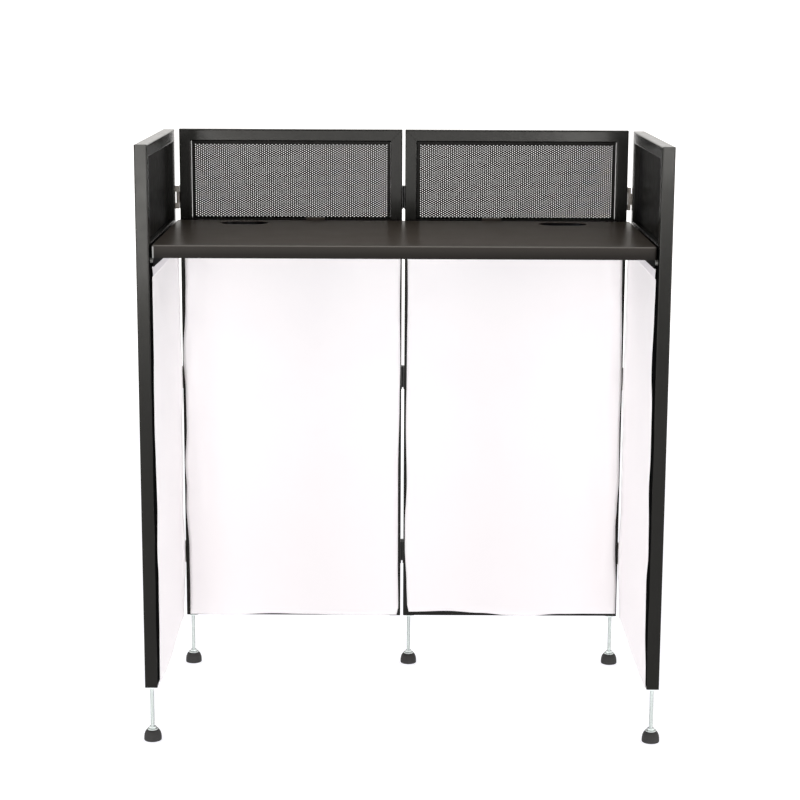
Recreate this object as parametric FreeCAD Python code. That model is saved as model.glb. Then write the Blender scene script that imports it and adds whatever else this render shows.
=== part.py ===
import FreeCAD, Part
import math
import os
from FreeCAD import Vector, Placement, Rotation

# Folding DJ table: four hinged tube panels stand around a drop-in table top.
# The user stands at -Y and looks along +Y. X runs to the user's right and Z up.
# The origin is on the floor, in the middle of the width and of the depth.
# All sizes are in millimetres.

# Driving dimensions

OVERALL_WIDTH = 1016.0
OVERALL_DEPTH = 508.0
PANEL_HEIGHT = 1067.0
FOOT_HEIGHT = 112.0
TABLE_HEIGHT = 989.0

# Frame tube

TUBE = 25.0
TUBE_WALL = 1.5
TUBE_RADIUS = 2.5
TUBE_BORE = TUBE - 2 * TUBE_WALL

# Hinge pins: how far each pin stands off the tubes it joins

CORNER_PIN_OFFSET = 4.0
CENTRE_GAP = 6.0
CENTRE_PIN_PROUD = 2.0

# Butt hinges, three on each hinge line

HINGE_LENGTH = 48.0
HINGE_SPREAD = 390.0
LEAF_THICKNESS = 1.5
LEAF_EDGE = 3.0
LEAF_DEPTH = 20.0
KNUCKLE_RADIUS = 3.0
HINGE_PIN_RADIUS = 1.75
PIN_FIXED_CLEARANCE = 0.02
PIN_RUNNING_CLEARANCE = 0.05
KNUCKLE_END_PLAY = 0.2

# Perforated upper sheet and stretched scrim of each panel

MIDDLE_RAIL_STEP = 2.0
SHEET_THICKNESS = 1.0
SHEET_SETBACK = 12.0
SHEET_FLANGE = 8.0
SHEET_BEND = 1.5
SHEET_SLIT = 3.0
SCRIM_THICKNESS = 1.0
SCRIM_EDGE = 5.0
SCRIM_POST_EDGE = 29.0
SCRIM_LOWER_EDGE = 6.0
SCRIM_RAIL_OVERLAP = 18.0
SCRIM_CORNER = 8.0

# Screw feet

STEM_RADIUS = 4.0
THREAD_CLEARANCE = 0.05
STEM_IN_POST = 35.0
PLUG_HEIGHT = 20.0
NUT_ACROSS_FLATS = 13.0
LOCK_NUT_HEIGHT = 5.0
PAD_RADIUS = 17.5
PAD_HEIGHT = 22.0
PAD_SKIRT_HEIGHT = 9.0
PAD_TOP_RADIUS = 12.0
FLANGE_RADIUS = 11.0
FLANGE_HEIGHT = 2.0
STEM_HEX_HEIGHT = 4.0

# Table top: a folded steel pan, its hooks, gussets and the pegs under it

TABLE_THICKNESS = 25.0
TABLE_SHEET = 1.5
TABLE_END_GAP = 3.5
TABLE_NEAR_SETBACK = 12.0
TABLE_FAR_GAP = 14.0
TABLE_BEND = 2.5
TABLE_CORNER = 4.0
TABLE_LIP = 12.0
PORT_LENGTH = 102.0
PORT_WIDTH = 64.0
PORT_SPACING = 666.0
PORT_EDGE = 24.0
PORT_COLLAR = 8.0
HOOK_WIDTH = 40.0
HOOK_SPACING = 374.0
HOOK_THICKNESS = 3.0
HOOK_REACH = 9.0
HOOK_LEG_CLEARANCE = 2.0
PEG_RADIUS = 5.0
PEG_LENGTH = 5.0
PEG_SETBACK = 17.0
GUSSET_WIDTH = 20.0
GUSSET_HEIGHT = 18.0
GUSSET_THICKNESS = 3.0
GUSSET_PEG_GAP = 1.0

# Values that follow from the driving dimensions

HALF_WIDTH = OVERALL_WIDTH / 2
HALF_DEPTH = OVERALL_DEPTH / 2
SIDE_INNER_X = HALF_WIDTH - TUBE
FRONT_INNER_Y = HALF_DEPTH - TUBE
CORNER_PIN_X = SIDE_INNER_X - CORNER_PIN_OFFSET
CORNER_PIN_Y = FRONT_INNER_Y - CORNER_PIN_OFFSET
SIDE_WIDTH = HALF_DEPTH + CORNER_PIN_Y - CORNER_PIN_OFFSET
FRONT_WIDTH = CORNER_PIN_X - CORNER_PIN_OFFSET - CENTRE_GAP / 2
MIDDLE_RAIL_TOP = TABLE_HEIGHT + MIDDLE_RAIL_STEP - FOOT_HEIGHT
MIDDLE_RAIL_FOOT = MIDDLE_RAIL_TOP - TUBE
TABLE_UNDERSIDE = TABLE_HEIGHT - TABLE_THICKNESS
TABLE_WIDTH = 2 * (SIDE_INNER_X - TABLE_END_GAP)
TABLE_NEAR_Y = TABLE_NEAR_SETBACK - HALF_DEPTH
TABLE_FAR_Y = FRONT_INNER_Y - TABLE_FAR_GAP
TABLE_DEPTH = TABLE_FAR_Y - TABLE_NEAR_Y
POST_MIDDLE = TUBE / 2
UP = Vector(0, 0, 1)

# How far cutters reach past the material, and how closely two places count as one

CUT_MARGIN = 5.0
SAME_PLACE = 0.01


def export(shape, node):
    """Write one node's solids as a STEP file."""
    shape.exportStep("parts/" + node + ".step")


def upright_edges(block):
    """The edges of a block that run along Z."""
    return [edge for edge in block.Edges if edge.BoundBox.ZLength > SAME_PLACE]


def upright_tube(length):
    """Square tube with rounded long edges that stands on the origin."""
    bar = Part.makeBox(TUBE, TUBE, length)
    bore = Part.makeBox(TUBE_BORE, TUBE_BORE, length, Vector(TUBE_WALL, TUBE_WALL, 0))
    return bar.makeFillet(TUBE_RADIUS, upright_edges(bar)).cut(bore)


def lying_tube(length):
    """Square tube along +X with one corner on the origin."""
    tube = upright_tube(length)
    tube.Placement = Placement(Vector(0, 0, TUBE), Rotation(Vector(0, 1, 0), 90))
    return tube


def wedge(corners):
    """Triangular cutter over the tube's whole thickness, from (along, up) corners."""
    points = [Vector(along, -CUT_MARGIN, up) for along, up in corners]
    face = Part.Face(Part.makePolygon(points + points[:1]))
    return face.extrude(Vector(0, TUBE + 2 * CUT_MARGIN, 0))


# One panel in its own frame: X along the panel, Y outward, Z up.
# Its start edge, inner face and lower end meet on the origin.


def start_post():
    """Full-height post with a mitred top end."""
    above = PANEL_HEIGHT + CUT_MARGIN
    below = PANEL_HEIGHT - TUBE - CUT_MARGIN
    inner = TUBE + CUT_MARGIN
    mitre = wedge([(-CUT_MARGIN, above), (inner, below), (inner, above)])
    return upright_tube(PANEL_HEIGHT).cut(mitre)


def end_post(width):
    """The start post turned end for end at the panel's other edge."""
    post = start_post().mirror(Vector(0, 0, 0), Vector(1, 0, 0))
    post.translate(Vector(width, 0, 0))
    return post


def top_rail(width):
    """Rail across the top, mitred into both posts."""
    above = PANEL_HEIGHT + CUT_MARGIN
    below = PANEL_HEIGHT - TUBE - CUT_MARGIN
    inner = TUBE + CUT_MARGIN
    rail = lying_tube(width)
    rail.translate(Vector(0, 0, PANEL_HEIGHT - TUBE))
    start_mitre = wedge([(-CUT_MARGIN, above), (inner, below), (-CUT_MARGIN, below)])
    end = width + CUT_MARGIN
    end_mitre = wedge([(end, above), (width - inner, below), (end, below)])
    return rail.cut(start_mitre).cut(end_mitre)


def cross_rail(width, height):
    """Rail butted between the posts with its lower face at the given height."""
    rail = lying_tube(width - 2 * TUBE)
    rail.translate(Vector(TUBE, 0, height))
    return rail


def mesh_sheet(width):
    """Sheet steel channel: its upper and lower flanges lie on the rails."""
    length = width - 2 * TUBE - 2 * SHEET_SLIT
    height = PANEL_HEIGHT - TUBE - MIDDLE_RAIL_TOP
    block = Part.makeBox(length, SHEET_FLANGE, height)
    bends = [edge for edge in block.Edges
             if edge.BoundBox.XLength > length - SAME_PLACE and edge.CenterOfMass.y < SAME_PLACE]
    block = block.makeFillet(SHEET_BEND, bends)
    hollow = Part.makeBox(length, SHEET_FLANGE, height - 2 * SHEET_THICKNESS,
                          Vector(0, SHEET_THICKNESS, SHEET_THICKNESS))
    sheet = block.cut(hollow)
    sheet.translate(Vector(TUBE + SHEET_SLIT, SHEET_SETBACK, MIDDLE_RAIL_TOP))
    return sheet


def scrim(width, start_edge, end_edge):
    """Flat stretch fabric on the inner face, from the lower rail to the middle rail."""
    height = MIDDLE_RAIL_FOOT + SCRIM_RAIL_OVERLAP - SCRIM_LOWER_EDGE
    cloth = Part.makeBox(width - start_edge - end_edge, SCRIM_THICKNESS, height)
    corners = [edge for edge in cloth.Edges if edge.BoundBox.YLength > SCRIM_THICKNESS - SAME_PLACE]
    cloth = cloth.makeFillet(SCRIM_CORNER, corners)
    cloth.translate(Vector(start_edge, -SCRIM_THICKNESS, SCRIM_LOWER_EDGE))
    return cloth


# Hinges, in the panel's frame


def cylinder_between(radius, along, outward, low, high):
    """Upright cylinder from one height to another."""
    return Part.makeCylinder(radius, high - low, Vector(along, outward, low))


def knuckle_spans(outer_pair):
    """Heights of a leaf's knuckles about the hinge middle: two outer ones or one inner."""
    half = HINGE_LENGTH / 2
    quarter = HINGE_LENGTH / 4
    if outer_pair:
        return [(-half, -quarter), (quarter, half)]
    return [(KNUCKLE_END_PLAY - quarter, quarter - KNUCKLE_END_PLAY)]


def hinge_leaf(face, side, pin_along, pin_outward, outer_pair):
    """Leaf flat on a post's end face: side is +1 on the end post and -1 on the start post."""
    root = face if side > 0 else face - LEAF_THICKNESS
    outer_pin = pin_outward > TUBE
    plate_low = TUBE - LEAF_EDGE - LEAF_DEPTH if outer_pin else LEAF_EDGE
    plate_foot = Vector(root, plate_low, -HINGE_LENGTH / 2)
    leaf = Part.makeBox(LEAF_THICKNESS, LEAF_DEPTH, HINGE_LENGTH, plate_foot)
    neck_low = plate_low + LEAF_DEPTH if outer_pin else pin_outward
    neck_high = pin_outward if outer_pin else plate_low
    for low, high in knuckle_spans(outer_pair):
        neck_foot = Vector(root, neck_low, low)
        neck = Part.makeBox(LEAF_THICKNESS, neck_high - neck_low, high - low, neck_foot)
        knuckle = cylinder_between(KNUCKLE_RADIUS, pin_along, pin_outward, low, high)
        leaf = leaf.fuse(neck).fuse(knuckle)
    clearance = PIN_FIXED_CLEARANCE if outer_pair else PIN_RUNNING_CLEARANCE
    bore_radius = HINGE_PIN_RADIUS + clearance
    bore = cylinder_between(bore_radius, pin_along, pin_outward, -HINGE_LENGTH, HINGE_LENGTH)
    return leaf.cut(bore).removeSplitter()


def hinge_pin(pin_along, pin_outward):
    """Plain pin as long as its hinge."""
    half = HINGE_LENGTH / 2
    return cylinder_between(HINGE_PIN_RADIUS, pin_along, pin_outward, -half, half)


def three_up(shape):
    """The same hinge piece at the three heights of a hinge line."""
    copies = []
    for step in (-1, 0, 1):
        copy = shape.copy()
        copy.translate(Vector(0, 0, PANEL_HEIGHT / 2 + step * HINGE_SPREAD))
        copies.append(copy)
    return Part.makeCompound(copies)


# Screw feet, about their own upright axis with the floor at zero


def hexagon(across_flats, height):
    """Upright hexagonal prism on the origin."""
    corner = Vector(across_flats / math.sqrt(3), 0, 0)
    turns = range(0, 361, 60)
    points = [Rotation(UP, turn).multVec(corner) for turn in turns]
    return Part.Face(Part.makePolygon(points)).extrude(Vector(0, 0, height))


def foot_pad():
    """Rubber foot turned about the stem: flat tread, upright skirt, sloped shoulder, flat top."""
    skirt = [(PAD_RADIUS, 0), (PAD_RADIUS, PAD_SKIRT_HEIGHT)]
    shoulder = [(PAD_TOP_RADIUS, PAD_HEIGHT), (0, PAD_HEIGHT)]
    outline = [(0, 0)] + skirt + shoulder + [(0, 0)]
    points = [Vector(radius, 0, height) for radius, height in outline]
    return Part.Face(Part.makePolygon(points)).revolve(Vector(0, 0, 0), UP, 360)


def foot_stem():
    """Flanged hexagon on the pad with the plated rod above it."""
    flange = Part.makeCylinder(FLANGE_RADIUS, FLANGE_HEIGHT, Vector(0, 0, PAD_HEIGHT))
    hexagon_low = PAD_HEIGHT + FLANGE_HEIGHT
    head = hexagon(NUT_ACROSS_FLATS, STEM_HEX_HEIGHT)
    head.translate(Vector(0, 0, hexagon_low))
    rod_low = hexagon_low + STEM_HEX_HEIGHT
    rod_length = FOOT_HEIGHT + STEM_IN_POST - rod_low
    rod = Part.makeCylinder(STEM_RADIUS, rod_length, Vector(0, 0, rod_low))
    return flange.fuse(head).fuse(rod).removeSplitter()


def thread_bore():
    """Cutter for the hole that the stem runs in, through the nut below zero and the plug above."""
    low = -LOCK_NUT_HEIGHT - CUT_MARGIN
    high = PLUG_HEIGHT + CUT_MARGIN
    return cylinder_between(STEM_RADIUS + THREAD_CLEARANCE, 0, 0, low, high)


def lock_nut():
    """Hexagon nut whose upper face is at zero."""
    nut = hexagon(NUT_ACROSS_FLATS, LOCK_NUT_HEIGHT)
    nut.translate(Vector(0, 0, -LOCK_NUT_HEIGHT))
    return nut.cut(thread_bore())


def threaded_plug():
    """Square plug that fills the post's open lower end."""
    corner = Vector(-TUBE_BORE / 2, -TUBE_BORE / 2, 0)
    plug = Part.makeBox(TUBE_BORE, TUBE_BORE, PLUG_HEIGHT, corner)
    return plug.cut(thread_bore())


def at_posts(shape, positions):
    """Copies of an upright piece under the given posts of a panel."""
    copies = []
    for along in positions:
        copy = shape.copy()
        copy.translate(Vector(along, POST_MIDDLE, 0))
        copies.append(copy)
    return Part.makeCompound(copies)


def table_peg(along):
    """Round peg on the post's inner face, level with the underside of the table."""
    middle = Vector(along, 0, TABLE_UNDERSIDE - PEG_RADIUS - FOOT_HEIGHT)
    inward = Vector(0, -1, 0)
    return Part.makeCylinder(PEG_RADIUS, PEG_LENGTH, middle, inward)


# Table top, in the object's frame


def oblong(length, width, height):
    """Upright prism with half-round ends, centred on the origin."""
    radius = width / 2
    half = length / 2 - radius
    bar = Part.makeBox(2 * half, width, height, Vector(-half, -radius, 0))
    for end in (-half, half):
        bar = bar.fuse(Part.makeCylinder(radius, height, Vector(end, 0, 0)))
    return bar.removeSplitter()


def pan_block(inset, low, high):
    """Block inside the table's outline with rounded upright corners."""
    block = Part.makeBox(TABLE_WIDTH - 2 * inset, TABLE_DEPTH - 2 * inset, high - low,
                         Vector(inset - TABLE_WIDTH / 2, TABLE_NEAR_Y + inset, low))
    return block.makeFillet(max(TABLE_CORNER - inset, TABLE_SHEET), upright_edges(block))


def rounded_top(block, radius):
    """The block with its upper outline bent over to the given radius."""
    high = block.BoundBox.ZMax
    rim = [edge for edge in block.Edges if edge.BoundBox.ZMin > high - SAME_PLACE]
    return block.makeFillet(radius, rim)


def table_pan():
    """Sheet steel pan: bent skirts, lips turned in below, two collared cable ports."""
    outer = rounded_top(pan_block(0, TABLE_UNDERSIDE, TABLE_HEIGHT), TABLE_BEND)
    hollow = pan_block(TABLE_SHEET, TABLE_UNDERSIDE + TABLE_SHEET, TABLE_HEIGHT - TABLE_SHEET)
    mouth = pan_block(TABLE_LIP, TABLE_UNDERSIDE - CUT_MARGIN, TABLE_UNDERSIDE + CUT_MARGIN)
    pan = outer.cut(hollow).cut(mouth)
    port_y = TABLE_FAR_Y - PORT_EDGE - PORT_WIDTH / 2
    collar_length = PORT_LENGTH + 2 * TABLE_SHEET
    collar_width = PORT_WIDTH + 2 * TABLE_SHEET
    for side in (-1, 1):
        place = Vector(side * PORT_SPACING / 2, port_y, TABLE_HEIGHT - PORT_COLLAR)
        collar = oblong(collar_length, collar_width, PORT_COLLAR - TABLE_SHEET)
        collar.translate(place)
        hole = oblong(PORT_LENGTH, PORT_WIDTH, PORT_COLLAR + 2 * CUT_MARGIN)
        hole.translate(place - Vector(0, 0, CUT_MARGIN))
        pan = pan.fuse(collar).cut(hole)
    return pan.removeSplitter()


def table_hook(middle):
    """Bent strip on the far skirt that reaches over the front panels' middle rail."""
    left = middle - HOOK_WIDTH / 2
    foot = TABLE_UNDERSIDE + HOOK_LEG_CLEARANCE
    rail_top = FOOT_HEIGHT + MIDDLE_RAIL_TOP
    top = rail_top + HOOK_THICKNESS
    length = TABLE_FAR_GAP + HOOK_REACH
    leg = Part.makeBox(HOOK_WIDTH, HOOK_THICKNESS, top - foot, Vector(left, TABLE_FAR_Y, foot))
    tongue = Part.makeBox(HOOK_WIDTH, length, HOOK_THICKNESS, Vector(left, TABLE_FAR_Y, rail_top))
    strip = leg.fuse(tongue).removeSplitter()
    bend = [edge for edge in strip.Edges
            if edge.BoundBox.YMax < TABLE_FAR_Y + SAME_PLACE and edge.BoundBox.ZMin > top - SAME_PLACE]
    return strip.makeFillet(HOOK_THICKNESS, bend)


def table_gusset(side):
    """Triangular plate under a near corner that drops in beside the peg."""
    outer = side * (SIDE_INNER_X - PEG_LENGTH - GUSSET_PEG_GAP)
    inner = outer - side * GUSSET_WIDTH
    near = PEG_SETBACK - HALF_DEPTH - GUSSET_THICKNESS / 2
    points = [Vector(outer, near, TABLE_UNDERSIDE), Vector(inner, near, TABLE_UNDERSIDE),
              Vector(outer, near, TABLE_UNDERSIDE - GUSSET_HEIGHT)]
    face = Part.Face(Part.makePolygon(points + points[:1]))
    return face.extrude(Vector(0, GUSSET_THICKNESS, 0))


# Where each panel stands: its start edge on the floor plan and its turn about Z.
# Each has its post names, its scrim's two side edges and the posts that carry a foot.

PANELS = {
    "left": {
        "origin": (-SIDE_INNER_X, -HALF_DEPTH),
        "turn": 90,
        "width": SIDE_WIDTH,
        "posts": ("near_post", "far_post"),
        "edges": (SCRIM_POST_EDGE, SCRIM_EDGE),
        "feet": {"left_near_foot": "start"},
    },
    "front_left": {
        "origin": (CORNER_PIN_OFFSET - CORNER_PIN_X, FRONT_INNER_Y),
        "turn": 0,
        "width": FRONT_WIDTH,
        "posts": ("outer_post", "inner_post"),
        "edges": (SCRIM_EDGE, SCRIM_EDGE),
        "feet": {"front_left_foot": "start"},
    },
    "front_right": {
        "origin": (CENTRE_GAP / 2, FRONT_INNER_Y),
        "turn": 0,
        "width": FRONT_WIDTH,
        "posts": ("inner_post", "outer_post"),
        "edges": (SCRIM_EDGE, SCRIM_EDGE),
        "feet": {"front_centre_foot": "start", "front_right_foot": "end"},
    },
    "right": {
        "origin": (SIDE_INNER_X, CORNER_PIN_Y - CORNER_PIN_OFFSET),
        "turn": -90,
        "width": SIDE_WIDTH,
        "posts": ("far_post", "near_post"),
        "edges": (SCRIM_EDGE, SCRIM_POST_EDGE),
        "feet": {"right_near_foot": "end"},
    },
}


def place_on_panel(shape, panel, height):
    """Move a piece from the panel's frame to its place in the object."""
    x, y = panel["origin"]
    stand = Placement(Vector(x, y, height), Rotation(UP, panel["turn"]))
    shape.Placement = stand.multiply(shape.Placement)
    return shape


def export_frame(name, panel):
    """Tubes, mesh sheet and scrim of one panel."""
    width = panel["width"]
    start_name, end_name = panel["posts"]
    pieces = {
        start_name: start_post(),
        end_name: end_post(width),
        "top_rail": top_rail(width),
        "middle_rail": cross_rail(width, MIDDLE_RAIL_FOOT),
        "bottom_rail": cross_rail(width, 0),
        "mesh_sheet": mesh_sheet(width),
        "scrim": scrim(width, panel["edges"][0], panel["edges"][1]),
    }
    for piece, shape in pieces.items():
        export(place_on_panel(shape, panel, FOOT_HEIGHT), name + "_" + piece)


def export_feet(name, panel):
    """Plugs in both posts, with a nut, stem and pad at each post that carries a foot."""
    post_places = {"start": POST_MIDDLE, "end": panel["width"] - POST_MIDDLE}
    foot_places = [post_places[post] for post in panel["feet"].values()]
    plugs = at_posts(threaded_plug(), post_places.values())
    export(place_on_panel(plugs, panel, FOOT_HEIGHT), name + "_threaded_plugs")
    nuts = at_posts(lock_nut(), foot_places)
    export(place_on_panel(nuts, panel, FOOT_HEIGHT), name + "_lock_nuts")
    for foot, post in panel["feet"].items():
        for piece, shape in (("stem", foot_stem()), ("pad", foot_pad())):
            placed = at_posts(shape, [post_places[post]])
            export(place_on_panel(placed, panel, 0), foot + "_" + piece)


def export_hinge_line(line, before, after, pin_gap, pin_outward):
    """Leaves on both panels of a hinge line, and the pins that the first panel keeps."""
    first = PANELS[before]
    second = PANELS[after]
    end_face = first["width"]
    first_leaf = three_up(hinge_leaf(end_face, 1, end_face + pin_gap, pin_outward, True))
    second_leaf = three_up(hinge_leaf(0, -1, -pin_gap, pin_outward, False))
    pins = three_up(hinge_pin(end_face + pin_gap, pin_outward))
    export(place_on_panel(first_leaf, first, FOOT_HEIGHT), line + "_" + before + "_leaves")
    export(place_on_panel(second_leaf, second, FOOT_HEIGHT), line + "_" + after + "_leaves")
    export(place_on_panel(pins, first, FOOT_HEIGHT), line + "_pins")


def export_table():
    """Table top with its hooks and gussets, and the pegs on the near posts."""
    export(table_pan(), "table_top")
    hooks = [table_hook(side * HOOK_SPACING / 2) for side in (-1, 1)]
    export(Part.makeCompound(hooks), "table_hooks")
    export(Part.makeCompound([table_gusset(side) for side in (-1, 1)]), "table_gussets")
    near_places = {"left": PEG_SETBACK, "right": SIDE_WIDTH - PEG_SETBACK}
    for name, along in near_places.items():
        export(place_on_panel(table_peg(along), PANELS[name], FOOT_HEIGHT), name + "_table_peg")


os.makedirs("parts", exist_ok=True)
for panel_name, panel_values in PANELS.items():
    export_frame(panel_name, panel_values)
    export_feet(panel_name, panel_values)
centre_pin_outward = TUBE + CENTRE_PIN_PROUD
export_hinge_line("left_hinge", "left", "front_left", CORNER_PIN_OFFSET, -CORNER_PIN_OFFSET)
export_hinge_line("centre_hinge", "front_left", "front_right", CENTRE_GAP / 2, centre_pin_outward)
export_hinge_line("right_hinge", "front_right", "right", CORNER_PIN_OFFSET, -CORNER_PIN_OFFSET)
export_table()
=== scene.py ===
"""The looks of a folding booth table, piece by piece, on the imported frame. Lengths are in metres."""
import math

import bmesh
import bpy
from mathutils import Matrix, Vector, noise


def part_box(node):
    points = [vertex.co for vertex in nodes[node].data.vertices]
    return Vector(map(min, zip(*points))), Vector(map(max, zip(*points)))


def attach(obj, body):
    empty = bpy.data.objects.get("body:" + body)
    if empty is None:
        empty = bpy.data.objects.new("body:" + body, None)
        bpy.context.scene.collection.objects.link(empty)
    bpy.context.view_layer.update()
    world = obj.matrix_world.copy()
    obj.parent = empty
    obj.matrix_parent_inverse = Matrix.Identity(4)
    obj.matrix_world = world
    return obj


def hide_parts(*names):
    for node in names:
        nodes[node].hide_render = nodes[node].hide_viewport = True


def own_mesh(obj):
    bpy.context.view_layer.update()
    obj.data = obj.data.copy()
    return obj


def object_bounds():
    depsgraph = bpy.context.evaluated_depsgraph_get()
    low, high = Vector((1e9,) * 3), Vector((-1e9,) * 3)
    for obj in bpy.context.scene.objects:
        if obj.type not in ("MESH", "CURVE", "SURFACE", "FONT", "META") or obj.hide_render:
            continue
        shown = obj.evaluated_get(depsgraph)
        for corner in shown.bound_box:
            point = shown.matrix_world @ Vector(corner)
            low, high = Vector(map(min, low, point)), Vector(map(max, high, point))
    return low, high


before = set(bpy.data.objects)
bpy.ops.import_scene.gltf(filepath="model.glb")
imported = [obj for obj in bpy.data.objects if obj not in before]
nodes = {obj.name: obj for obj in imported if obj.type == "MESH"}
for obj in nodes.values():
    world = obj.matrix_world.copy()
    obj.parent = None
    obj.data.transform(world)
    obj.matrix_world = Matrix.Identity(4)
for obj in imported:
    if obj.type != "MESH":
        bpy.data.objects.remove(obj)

cad_low, cad_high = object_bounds()


# Panel frames
# Four open frames of 25 mm square steel tube, mitred at the top corners and butted at the middle and
# bottom rails. The welds are ground low, and the frames are powder coated satin black.

MM = 0.001
UP = Vector((0, 0, 1))


def new_finish(name, colour, roughness, metallic=0.0):
    """A material with one Principled shader, before any variation over the surface is added."""
    finish = bpy.data.materials.new(name)
    finish.use_nodes = True
    shader = finish.node_tree.nodes["Principled BSDF"]
    shader.inputs["Base Color"].default_value = (*colour, 1.0)
    shader.inputs["Roughness"].default_value = roughness
    shader.inputs["Metallic"].default_value = metallic
    return finish


def shader_of(finish):
    return finish.node_tree.nodes["Principled BSDF"]


def add_blotches(finish, size, detail=2.0):
    """A noise whose blotches are this large, fixed to the piece."""
    tree = finish.node_tree
    place = tree.nodes.new("ShaderNodeTexCoord")
    blotches = tree.nodes.new("ShaderNodeTexNoise")
    blotches.inputs["Scale"].default_value = 1.0 / size
    blotches.inputs["Detail"].default_value = detail
    tree.links.new(place.outputs["Object"], blotches.inputs["Vector"])
    return blotches.outputs["Fac"]


NOISE_LOW = 0.3
NOISE_HIGH = 0.7


def vary_colour(finish, size, dark, light):
    """Lets the colour drift between two near shades in blotches of this size."""
    tree = finish.node_tree
    shades = tree.nodes.new("ShaderNodeValToRGB")
    first, last = shades.color_ramp.elements
    first.position = NOISE_LOW
    first.color = (*dark, 1.0)
    last.position = NOISE_HIGH
    last.color = (*light, 1.0)
    tree.links.new(add_blotches(finish, size), shades.inputs["Fac"])
    tree.links.new(shades.outputs["Color"], shader_of(finish).inputs["Base Color"])


def vary_roughness(finish, size, smooth, rough):
    """Lets the roughness drift between two values in blotches of this size."""
    tree = finish.node_tree
    spread = tree.nodes.new("ShaderNodeMapRange")
    spread.inputs["From Min"].default_value = NOISE_LOW
    spread.inputs["From Max"].default_value = NOISE_HIGH
    spread.inputs["To Min"].default_value = smooth
    spread.inputs["To Max"].default_value = rough
    tree.links.new(add_blotches(finish, size), spread.inputs["Value"])
    tree.links.new(spread.outputs["Result"], shader_of(finish).inputs["Roughness"])


def raise_bumps(finish, size, height):
    """Fine bumps of this size and height over the surface."""
    tree = finish.node_tree
    bumps = tree.nodes.new("ShaderNodeBump")
    bumps.inputs["Distance"].default_value = height
    tree.links.new(add_blotches(finish, size), bumps.inputs["Height"])
    tree.links.new(bumps.outputs["Normal"], shader_of(finish).inputs["Normal"])


def dress(node_name, finish):
    """Gives a CAD node its finish."""
    mesh = nodes[node_name].data
    mesh.materials.clear()
    mesh.materials.append(finish)


def make_piece(name, mesh, finish, body):
    """Sets a finished mesh in the scene as a named piece that rides on a body."""
    piece = bpy.data.objects.new(name, mesh)
    bpy.context.scene.collection.objects.link(piece)
    if not mesh.materials:
        mesh.materials.append(finish)
    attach(piece, body)
    return piece


WARM_GLOSS = (1.0, 0.98, 0.92, 1.0)

satin_coat = new_finish("satin_black_powder_coat", colour=(0.0065, 0.0063, 0.0056), roughness=0.22)
vary_colour(satin_coat, size=90 * MM, dark=(0.0057, 0.0055, 0.0048), light=(0.0075, 0.0073, 0.0066))
vary_roughness(satin_coat, size=25 * MM, smooth=0.205, rough=0.24)
raise_bumps(satin_coat, size=1.2 * MM, height=0.002 * MM)
shader_of(satin_coat).inputs["Specular IOR Level"].default_value = 0.17
shader_of(satin_coat).inputs["Specular Tint"].default_value = WARM_GLOSS
shader_of(satin_coat).inputs["Coat Weight"].default_value = 0.1
shader_of(satin_coat).inputs["Coat Roughness"].default_value = 0.08
shader_of(satin_coat).inputs["Coat IOR"].default_value = 1.3

for node_name in nodes:
    if node_name.endswith(("_post", "_rail")):
        dress(node_name, satin_coat)

# Each panel's direction out of the booth, and its posts.
PANEL_OUT = {
    "left": Vector((-1, 0, 0)),
    "front_left": Vector((0, 1, 0)),
    "front_right": Vector((0, 1, 0)),
    "right": Vector((1, 0, 0)),
}
PANEL_POSTS = {
    "left": ("near_post", "far_post"),
    "front_left": ("outer_post", "inner_post"),
    "front_right": ("inner_post", "outer_post"),
    "right": ("far_post", "near_post"),
}
BEAD_HALF_WIDTH = 1.2 * MM
BEAD_HEIGHT = 0.07 * MM
BEAD_SINK = 0.04 * MM
BEAD_RIPPLE = 1.5 * MM
BEAD_DIP = 0.7
BEAD_SHORT = 2.0 * MM
BEAD_SECTION = (-1.0, -0.5, 0.0, 0.5, 1.0)


def lay_bead(bead, start, end, out):
    """A low rippled ridge on the tube's face along a seam, ground back at both ends."""
    run = end - start
    along = run.normalized()
    start = start + along * BEAD_SHORT
    length = run.length - 2 * BEAD_SHORT
    across = along.cross(out)
    steps = max(2, round(length / BEAD_RIPPLE))
    rows = []
    for step in range(steps + 1):
        here = start + along * (length * step / steps)
        crest = BEAD_HEIGHT * (1.0 if step % 2 else BEAD_DIP)
        if step in (0, steps):
            crest = 0.0
        row = []
        for side in BEAD_SECTION:
            rise = (crest + BEAD_SINK) * (1.0 - side * side) - BEAD_SINK
            row.append(bead.verts.new(here + across * (side * BEAD_HALF_WIDTH) + out * rise))
        rows.append(row)
    for row, next_row in zip(rows, rows[1:]):
        for side in range(len(BEAD_SECTION) - 1):
            corners = (row[side], next_row[side], next_row[side + 1], row[side + 1])
            bead.faces.new(corners).smooth = True


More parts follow.
